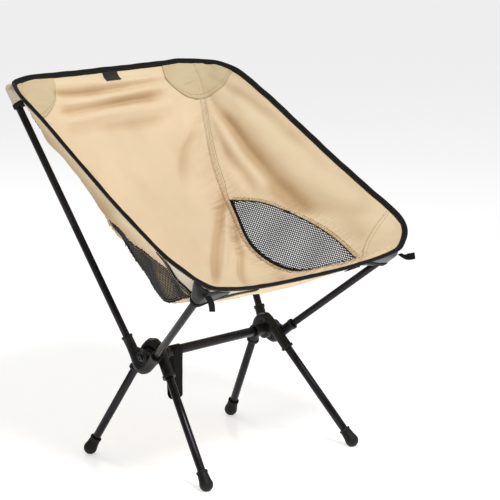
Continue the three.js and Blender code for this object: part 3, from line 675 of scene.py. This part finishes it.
# Rows of stitches, in millimetres across the seam and across the mesh window's upper hem.
SEAM_ROWS, HEM_ROWS = (-7.2, -3.4, -0.6), (2.0, 6.8)
seam_v = np.linspace(0.004 + first_v(SEAM_W, REAR_CORNER), 0.997 - first_v(SEAM_W, FRONT_CORNER), 520)
seam_w = np.full(seam_v.shape, SEAM_W)
top_v = np.linspace(MESH_FROM + 0.004, MESH_TO - 0.004, 260)
for side, sign in SIDES.items():
    w, v = side_grid(sign, 290, 84)
    panel = cloth_piece(f"seat_side_cloth_{side}", w, v, FABRIC, "fabric", rests_on=[f"pole_tip_rear_{side}"])
    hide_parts(f"side_panel_{side}")
    net = net_window(f"mesh_net_{side}", sign)
    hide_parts(f"mesh_window_{side}")
    # The seam's folded allowance inside the bucket, sewn down with three rows, with a painted shadow line
    # beside it.
    reach = 4.2 * smooth(-seam_v, -0.47, -0.41) - 0.3
    band(f"seam_allowance_{side}", sign * seam_w, seam_v, -8.6, reach, HEM_AT, HEM_THICK, FABRIC, "fabric")
    shadow_line_w, shadow_line_v, beside = sign * seam_w[:250], seam_v[:250], reach[:250]
    # Painted shadow: a thin strip in the darker thread colour along the allowance's edge.
    band(f"seam_shadow_line_{side}", shadow_line_w, shadow_line_v, beside, beside + 0.8, 0.0009, 0.0007, THREAD, "fabric", 3)
    rows = []
    for gap in SEAM_ROWS:
        ww = sign * seam_w + sign * step_w(sign * seam_w, seam_v, gap + 0.5 * reach)
        rows.append(row_on_cloth(ww, seam_v, STITCH_AT))
    # The mesh window's upper hem, with two rows.
    hem_w = sign * mesh_w(top_v)
    band(f"mesh_hem_{side}", hem_w, top_v, 0.3, 8.5, HEM_AT, HEM_THICK, FABRIC, "fabric")
    for gap in HEM_ROWS:
        ww = hem_w + sign * step_w(hem_w + sign * 0.01, top_v, gap)
        rows.append(row_on_cloth(ww, top_v, STITCH_AT))
    stitch_rows(f"seam_stitches_{side}", rows, THREAD)
    # Cross stitches all round the window.
    crossed = []
    for w_line, v_line, gap in ((sign * seam_w, seam_v, -4.6), (hem_w, top_v, 4.4)):
        near = (v_line > MESH_FROM) & (v_line < MESH_TO)
        ww = w_line + sign * step_w(w_line, v_line, gap)
        crossed.append(row_on_cloth(ww[near], v_line[near], STITCH_AT))
    stitch_rows(f"cross_stitches_{side}", crossed, THREAD, pitch=0.0034, length=0.0056, across=True)
    # A thin dark edge all round the window.
    low_v = np.linspace(MESH_FROM, MESH_TO, 260)
    low_w = sign * np.full(low_v.shape, SEAM_W)
    for name, w, v, low, high in (("low", low_w, low_v, 0.2, 1.5), ("top", hem_w, top_v, -1.5, -0.2)):
        band(f"window_edge_{name}_{side}", w, v, low, high, 0.0006, 0.0012, TAPE, "webbing", 4)
    # The black seam tape outside.
    tape_w, tape_v = sign * seam_w[60:-30], seam_v[60:-30]
    outer = band(f"seam_tape_{side}", tape_w, tape_v, -4.5, 4.5, TAPE_AT, TAPE_THICK, TAPE, "webbing")
    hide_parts(f"seam_piping_{side}")
    band(f"mesh_tape_{side}", hem_w, top_v, -1.0, 7.0, TAPE_AT, TAPE_THICK, TAPE, "webbing")
    pale = []
    for w_line, v_line, gaps in ((tape_w, tape_v, (-3.0, 3.0)), (hem_w, top_v, (1.0, 5.4))):
        for gap in gaps:
            ww = w_line + sign * step_w(w_line, v_line, gap)
            points, normals = row_on_cloth(ww, v_line, TAPE_STITCH_AT)
            pale.append((points, -normals))
    stitch_rows(f"tape_stitches_{side}", pale, PALE_THREAD)


# ---------------------------------------------------------------- corner patches
REAR_PATCH_R, CORNER_REACH = 0.080, 0.22


def rear_reach(w):
    """A round patch, centred where the seam meets the top edge."""
    v = np.linspace(0, 0.3, 500)[None]
    w = np.atleast_1d(w)
    away = np.linalg.norm(seat(w.reshape(-1, 1), v) - seat(SEAM_W, 0.0), axis=-1)
    return np.array([np.interp(REAR_PATCH_R, row, v[0]) for row in away]).reshape(w.shape)


def front_reach(w):
    return 0.16 * np.clip((w - 0.33) / 0.67, 0, 1) ** 0.8


def outer_front_reach(w):
    near = np.linspace(-0.07, 0.07, 15)
    w = np.asarray(w, float)[..., None] + near
    across, along = (0.3, 0.45, 0.6, 0.66, 0.8, 1.0, 1.1), (0.0, 0.06, 0.085, 0.09, 0.14, 0.17, 0.18)
    return np.interp(w, across, along).mean(-1)


def patch_grid(sign, reach, front, low, high, rows=70, cols=44):
    w = lerp(low, high, np.linspace(0, 1, rows) ** (1.5 if reach is rear_reach else 1))[:, None]
    share = np.linspace(0, 1, cols)[None]
    v = lerp(first_v(w, FRONT_CORNER if front else REAR_CORNER) + 0.002, reach(w), share)
    return sign * (w + 0 * v), (1 - v if front else v)


def outside_of_corner(sign, front, offset):
    """The cloth round a corner, at an offset, to cast rays at."""
    w, v = patch_grid(sign, lambda across: CORNER_REACH + 0 * across, front, 0.25, 1.0)
    points = [Vector(p) for p in cloth(w, v, offset).reshape(-1, 3)]
    return BVHTree.FromPolygons(points, grid_faces(*w.shape).tolist())


def tucked(points, outside):
    """Points with those that stand through the cloth moved back to its outside."""
    moved = np.array(points, float)
    for place in moved.reshape(-1, 3):
        out = (Vector(place) - BUCKET_MIDDLE).normalized()
        hit = outside.ray_cast(Vector(place), out, 0.012)[0]
        if hit is not None:
            place[:] = hit
    return moved


def patch(name, sign, reach, front, low, offset, material, replaced=None):
    w, v = patch_grid(sign, reach, front, low, 0.99)
    obj = cloth_piece(name, w, v, material, "patch", offset=offset, thickness=0.0006,
                      rests_on=["centre_panel"])
    if replaced:
        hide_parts(replaced)
    return w, v


INNER_PATCHES = {"rear": (rear_reach, 0.381, PATCH), "front": (front_reach, 0.345, FABRIC)}

for side, sign in SIDES.items():
    for end, (reach, low, material) in INNER_PATCHES.items():
        w, v = patch(f"inner_patch_{end}_{side}", sign, reach, end == "front", low, PATCH_AT, material,
                     f"corner_patch_{end}_{side}")
        rows = [row_on_cloth(w[:, -k], v[:, -k], -TAPE_STITCH_AT) for k in (2, 6)]
        stitch_rows(f"patch_stitches_{end}_{side}", rows, THREAD)
    w, v = patch(f"outer_patch_front_{side}", sign, outer_front_reach, True, 0.29, -PATCH_AT, LINER)
    # Black tape along the outer patch's free edge, with pale stitches.
    edge, nor = row_on_cloth(w[:, -1], v[:, -1], 0.0)
    along = unit(np.gradient(edge, axis=0))
    out = unit(np.cross(nor, along))
    wide = np.linspace(-0.0080, 0.0080, 5)
    ribbon = edge[:, None] + out[:, None] * wide[None, :, None] + nor[:, None] * PATCH_TAPE_AT
    ribbon = tucked(ribbon, outside_of_corner(sign, True, PATCH_TAPE_AT + SLACK))
    faces = grid_faces(*ribbon.shape[:2])
    thicken(piece(f"patch_tape_{side}", ribbon, faces, TAPE, grid_uv(ribbon)), 0.0014)
    below = outside_of_corner(sign, True, PATCH_STITCH_AT + SLACK)
    lines = [(tucked(edge + out * k + nor * PATCH_STITCH_AT, below), -nor) for k in (-0.0055, 0.0055)]
    stitch_rows(f"patch_tape_stitches_{side}", lines, PALE_THREAD)


# ---------------------------------------------------------------- the rim's binding
def rim_line(count=900):
    """Places round the seat's edge, from the middle of the front and back to it, with the corners cut."""
    rear, front = corner_places(REAR_CORNER, 24), corner_places(FRONT_CORNER, 30)
    half = np.concatenate([
        np.stack([np.linspace(0, front[0][0], 110)[:-1], np.ones(109)], 1),
        np.stack([front[0], 1 - front[1]], 1),
        np.stack([np.ones(280), np.linspace(1 - front[1][-1], rear[1][-1], 280)], 1)[1:-1],
        np.stack([rear[0], rear[1]], 1)[::-1],
        np.stack([np.linspace(rear[0][0], 0, 110)[1:], np.zeros(109)], 1)])
    whole = np.concatenate([half, (half * [-1, 1])[::-1][1:-1]])
    spots = seat(whole[:, 0], whole[:, 1])
    run = run_along(spots)
    even = np.linspace(0, run[-1], count)
    return np.stack([np.interp(even, run, whole[:, 0]), np.interp(even, run, whole[:, 1])], 1)


def rounded_section(wide, thick, count=16):
    turn = np.arange(count) / count * TAU
    power = lambda a: np.sign(a) * np.abs(a) ** 0.55
    return np.stack([wide * power(np.cos(turn)), thick * power(np.sin(turn))], 1)


def eased(line, rounds):
    for _ in range(rounds):
        line = (np.roll(line, 1, 0) + 2 * line + np.roll(line, -1, 0)) / 4
    return line


places = rim_line()
rim = seat(places[:, 0], places[:, 1])
facing = eased(inward(places[:, 0], places[:, 1]), 12)
along = unit(eased(np.roll(rim, -1, 0) - np.roll(rim, 1, 0), 30))
outward = unit(np.cross(along, facing))
facing = unit(np.cross(outward, along))
path = eased(rim + outward * 0.0039, 24)
run = run_along(path)
wobble = 0.0005 * np.sin(run * 61) + 0.0004 * np.sin(run * 143 + 1)
section = rounded_section(0.0052, 0.0030)
rings = (path[:, None] + outward[:, None] * (section[None, :, :1] + wobble[:, None, None] * 0.4)
         + facing[:, None] * section[None, :, 1:] * (1 + wobble[:, None, None] * 120))
binding_uv = np.stack(np.broadcast_arrays(run_along(section)[None], run[:, None]), -1)
binding_faces = grid_faces(*rings.shape[:2], close_rows=True, close_cols=True)
binding = piece("rim_binding", rings, binding_faces, TAPE, binding_uv)
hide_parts("edge_binding")
rim_threads = []
for face in (1, -1):
    line = path - outward * 0.0028 + facing * face * 0.0030
    rim_threads.append((line, facing * face))
stitch_rows("rim_stitches", rim_threads, BLACK_THREAD)


# ---------------------------------------------------------------- pockets on the pole tips
POCKETS = {
    "front": dict(spans=[(0.61, 0.90), (0.46, 0.59)], v=(0.955, 0.992), radius=0.0098, depth=0.032,
                  material=COATED, slot="webbing"),
    "rear": dict(spans=[(0.61, 0.84), (0.52, 0.59)], v=(0.012, 0.070), radius=0.0083, depth=0.040,
                 material=LINER, slot="patch"),
}


def pocket_shape(name, sign, end, tip, axis):
    """A soft pocket drawn tight from the cloth's outside over the end of a pole."""
    plan = POCKETS[end]
    side = unit(np.cross(axis, [0.0, 0.0, 1.0]))
    turn = np.linspace(0, TAU, 20, endpoint=False)[:, None]
    ring = plan["radius"] * (np.cos(turn) * side + np.sin(turn) * np.cross(axis, side))
    rounds = ((0.55, -0.004), (0.9, 0), (1, 0.005), (1, plan["depth"]))
    pole = [tip + ring * share - axis * down for share, down in rounds]
    front = end == "front"
    corner = FRONT_CORNER if front else REAR_CORNER
    near, far = (1 - plan["v"][1], 1 - plan["v"][0]) if front else plan["v"]
    hull = bmesh.new()
    for span in plan["spans"]:
        points = list(pole)
        for w in np.linspace(*span, 5):
            first = float(first_v(w, corner)) + 0.004
            v = np.linspace(max(first, near), max(first, far), 5)
            points.append(cloth(sign * w + 0 * v, 1 - v if front else v, POCKET_AT))
        half = bmesh.new()
        for p in np.concatenate(points):
            half.verts.new(p)
        made = bmesh.ops.convex_hull(half, input=half.verts[:])
        spare = {v for v in made["geom_interior"] + made["geom_unused"] if isinstance(v, bmesh.types.BMVert)}
        bmesh.ops.delete(half, geom=list(spare), context="VERTS")
        step = bpy.data.meshes.new("half")
        half.to_mesh(step)
        half.free()
        hull.from_mesh(step)
        bpy.data.meshes.remove(step)
    data = bpy.data.meshes.new(name)
    hull.to_mesh(data)
    hull.free()
    obj = bpy.data.objects.new(name, data)
    bpy.context.scene.collection.objects.link(obj)
    remesh = obj.modifiers.new("remesh", "REMESH")
    remesh.mode, remesh.voxel_size = "VOXEL", 0.0012
    ease = obj.modifiers.new("ease", "SMOOTH")
    ease.factor, ease.iterations = 0.5, 6
    bpy.context.view_layer.update()
    data = bpy.data.meshes.new_from_object(obj.evaluated_get(bpy.context.evaluated_depsgraph_get()))
    bpy.data.objects.remove(obj)
    data.name = name
    outside = tucked([v.co for v in data.vertices], outside_of_corner(sign, front, POCKET_AT))
    data.vertices.foreach_set("co", outside.astype(np.float32).ravel())
    data.shade_smooth()
    return riding(name, data, plan["material"])


def round_uv(obj, axis, origin):
    """UV in metres: round an axis and along it."""
    points = np.array([v.co for v in obj.data.vertices]) - origin
    along = points @ axis
    out = points - along[:, None] * axis
    side = unit(np.cross(axis, [0.0, 0.0, 1.0]))
    angle = np.arctan2(out @ np.cross(axis, side), out @ side)
    lay_uv(obj.data, np.stack([angle * np.linalg.norm(out, axis=1).mean(), along], 1))


def pocket_tape(name, pocket, tip, axis, depth, wide=0.0085):
    """Black tape round the pocket's mouth: a strip of the pocket's outside, thickened."""
    tape = bmesh.new()
    tape.from_mesh(pocket.data)
    for place, keep_above in ((depth, True), (depth - wide, False)):
        geom = tape.verts[:] + tape.edges[:] + tape.faces[:]
        bmesh.ops.bisect_plane(tape, geom=geom, plane_co=Vector(tip - axis * place), plane_no=Vector(axis),
                               clear_inner=keep_above, clear_outer=not keep_above)
    inner = []
    for face in tape.faces:
        out = np.array(face.calc_center_median()) - tip
        out = out - axis * (out @ axis)
        if out @ np.array(face.normal) < 0:
            inner.append(face)
    bmesh.ops.delete(tape, geom=inner, context="FACES")
    data = bpy.data.meshes.new(name)
    tape.to_mesh(data)
    tape.free()
    thicken(riding(name, data, TAPE), 0.0011, 1.0)


for side, sign in SIDES.items():
    for end in ("front", "rear"):
        hub = np.array(HUB[end]) / 1000 * [sign, 1, 1]
        tip = np.array(TIP[end]) / 1000 * [sign, 1, 1]
        axis = unit(tip - hub)
        pocket = pocket_shape(f"pocket_{end}_{side}", sign, end, tip, axis)
        round_uv(pocket, axis, tip)
        # No painted valley shade on the pocket.
        pocket.data.attributes.new("valley", "FLOAT", "POINT")
        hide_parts(f"corner_pocket_{end}_{side}")
        tape_depth = POCKETS[end]["depth"] + 0.001
        pocket_tape(f"pocket_tape_{end}_{side}", pocket, tip, axis, tape_depth)


# ---------------------------------------------------------------- label, pull tabs and storage strap
def ribbon_piece(name, line, across, wide, thick, material, body, replaced):
    """A strip of webbing along a line, thicker in the middle than at its selvages."""
    along = unit(np.gradient(line, axis=0))
    across = unit(across - along * (along * across).sum(1, keepdims=True))
    normal = np.cross(along, across)
    section = rounded_section(wide / 2, thick / 2, 20)
    rings = line[:, None] + across[:, None] * section[None, :, :1] + normal[:, None] * section[None, :, 1:]
    count, last = len(section), (len(line) - 1) * len(section)
    faces = grid_faces(len(line), count, close_cols=True).tolist()
    faces += [list(range(count))[::-1], list(range(last, last + count))]
    uv = np.stack(np.broadcast_arrays(run_along(section)[None], run_along(line)[:, None]), -1)
    obj = piece(name, rings, faces, material, uv, body)
    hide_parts(replaced)


across, down = np.linspace(-0.045, 0.053, 24)[None], np.linspace(0.001, 0.031, 20)[:, None]
label_w, label_v = np.broadcast_arrays(across, down)
label_points = cloth(label_w, label_v, 0.0022)
label = piece("label", label_points, grid_faces(*label_w.shape), LABEL, grid_uv(label_points))
thicken(label, 0.0008)
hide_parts("label_tag")

TAB_WIDE, TAB_THICK = 0.012, 0.002
TAB_END = {"left": [0.004, -0.030, 0.001], "right": [0.004, -0.015, -0.022]}
for side, sign in SIDES.items():
    root = np.array(TIP["front"]) / 1000 + [0.001, -0.012, -0.004]
    bend, tip = root + [0.001, -0.012, -0.006], root + TAB_END[side]
    t = np.linspace(0, 1, 40)[:, None]
    line = (1 - t) ** 2 * root + 2 * t * (1 - t) * bend + t * t * tip
    line = line * [sign, 1, 1]
    twist = smooth(t, 0.1, 0.8) * (0.9 if side == "left" else 0.25)
    across = (1 - twist) * [1.0, 0, 0] + twist * [0.15 * sign, 0.1, 1.0]
    ribbon_piece(f"tab_webbing_{side}", line, across, TAB_WIDE, TAB_THICK, WEBBING, f"tab_{side}",
                 f"pull_tab_{side}")

low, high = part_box("storage_strap")
bar_z, bar_r, low_r = 0.192, 0.00875, 0.008
strap_x = (low.x + high.x) / 2
turn = np.linspace(0, math.pi, 24)
over = np.stack([0 * turn, bar_r * np.cos(turn), bar_z + bar_r * np.sin(turn)], 1)
low_centre = low.z + low_r + 0.0015
under = np.stack([0 * turn, -low_r * np.cos(turn), low_centre - low_r * np.sin(turn)], 1)
down = lerp(over[-1], under[0], np.linspace(0, 1, 26)[1:-1, None])
up = lerp(under[-1], over[0], np.linspace(0, 1, 26)[1:-1, None])
loop = np.concatenate([over, down, under, up])
middle = np.array([0, 0, (bar_z + low_centre) / 2])
loop += unit(loop - middle) * 0.00085 * [0, 1, 1]
loop = np.concatenate([loop, loop[:1]])
sway = np.sin((bar_z - loop[:, 2]) / 0.085 * math.pi)
loop[:, 0] = strap_x
loop[:, 1] += 0.0012 * sway
cols = np.linspace(-0.0099, 0.0099, 9)
grid = loop[:-1, None] + np.array([1.0, 0, 0]) * cols[None, :, None]
strap = piece("storage_loop", grid, grid_faces(len(loop) - 1, len(cols), close_rows=True), WEBBING,
              grid_uv(grid), "strap")
thicken(strap, 0.0014)
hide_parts("storage_strap")

# ---------------------------------------------------------------- hard pieces keep their CAD shape
FINISH = {"tube": TUBE, "plastic": PLASTIC, "rubber": RUBBER, "steel": STEEL, "cord": CORD}
slots = {row["node"]: row["material_slot"] for row in frame["record"]["subparts"]}
for name, obj in NODES.items():
    if slots[name] in FINISH:
        obj.data.materials.clear()
        obj.data.materials.append(FINISH[slots[name]])
        if obj.data.attributes.get("custom_normal"):
            obj.data.attributes.remove(obj.data.attributes["custom_normal"])
        weld = obj.modifiers.new("weld", "WELD")
        weld.merge_threshold = 0.00002
        rounding = obj.modifiers.new("rounding", "BEVEL")
        rounding.width, rounding.segments = 0.0005, 2
        rounding.limit_method, rounding.angle_limit = "ANGLE", math.radians(32)
        rounding.harden_normals = False
        obj.data.shade_smooth()

# ---------------------------------------------------------------- floor, light and camera
floor_material, _, floor_shader = new_material("studio_floor")
floor_shader.inputs["Base Color"].default_value = (0.93, 0.93, 0.93, 1)
floor_shader.inputs["Roughness"].default_value = 0.12
floor_shader.inputs["Specular IOR Level"].default_value = 0.35
floor_shader.inputs["Emission Color"].default_value = (1, 1, 1, 1)
floor_shader.inputs["Emission Strength"].default_value = 0.50
floor_data = bpy.data.meshes.new("floor")
floor_data.from_pydata([(-9, -9, 0), (9, -9, 0), (9, 9, 0), (-9, 9, 0)], [], [(0, 1, 2, 3)])
floor_data.materials.append(floor_material)
floor = bpy.data.objects.new("floor", floor_data)
bpy.context.scene.collection.objects.link(floor)

world = bpy.data.worlds.new("studio")
bpy.context.scene.world = world
world.use_nodes = True
background = world.node_tree.nodes["Background"]
background.inputs["Color"].default_value = (1, 1, 1, 1)
seen_directly = node(world.node_tree, "ShaderNodeLightPath").outputs["Is Camera Ray"]
SKY_LIGHT, SKY_SEEN = 0.36, 0.7
strength = math_node(world.node_tree, "MULTIPLY_ADD", seen_directly, SKY_SEEN)
strength.node.inputs[2].default_value = SKY_LIGHT
world.node_tree.links.new(strength, background.inputs["Strength"])
bpy.context.scene.view_settings.view_transform = "Standard"


def area_light(name, location, target, size, power):
    data = bpy.data.lights.new(name, "AREA")
    data.shape, data.size, data.energy = "DISK", size, power
    obj = bpy.data.objects.new(name, data)
    obj.location = location
    obj.rotation_mode = "QUATERNION"
    obj.rotation_quaternion = (Vector(target) - Vector(location)).to_track_quat("-Z", "Y")
    bpy.context.scene.collection.objects.link(obj)


area_light("key", (-0.4, -1.7, 2.7), (0, 0, 0.35), 0.9, 62)
area_light("fill", (2.2, -2.4, 1.4), (0, 0, 0.35), 1.8, 8)
area_light("rim", (0.6, 2.6, 2.2), (0, 0, 0.4), 1.2, 16)

camera = bpy.data.objects.new("camera", bpy.data.cameras.new("camera"))
bpy.context.scene.collection.objects.link(camera)
bpy.context.scene.camera = camera
AZIMUTH, ELEVATION, ROLL = math.radians(-44.278), math.radians(12.2025), math.radians(-0.3833)
CAMERA_PLACE = (-2.47268, -2.53575, 1.06592)
flat = math.cos(ELEVATION)
back = Vector((math.sin(AZIMUTH) * flat, -math.cos(AZIMUTH) * flat, math.sin(ELEVATION)))
level = Vector((0, 0, 1)).cross(back).normalized()
upright = back.cross(level)
right = level * math.cos(ROLL) + upright * math.sin(ROLL)
up_axis = back.cross(right)
camera.matrix_world = Matrix((
    (right.x, up_axis.x, back.x, CAMERA_PLACE[0]), (right.y, up_axis.y, back.y, CAMERA_PLACE[1]),
    (right.z, up_axis.z, back.z, CAMERA_PLACE[2]), (0, 0, 0, 1)))
camera.data.sensor_width = 36
camera.data.lens = 150.7055
camera.data.shift_x = 0.07954
camera.data.shift_y = 0.06181
camera.data.clip_start, camera.data.clip_end = 0.1, 60
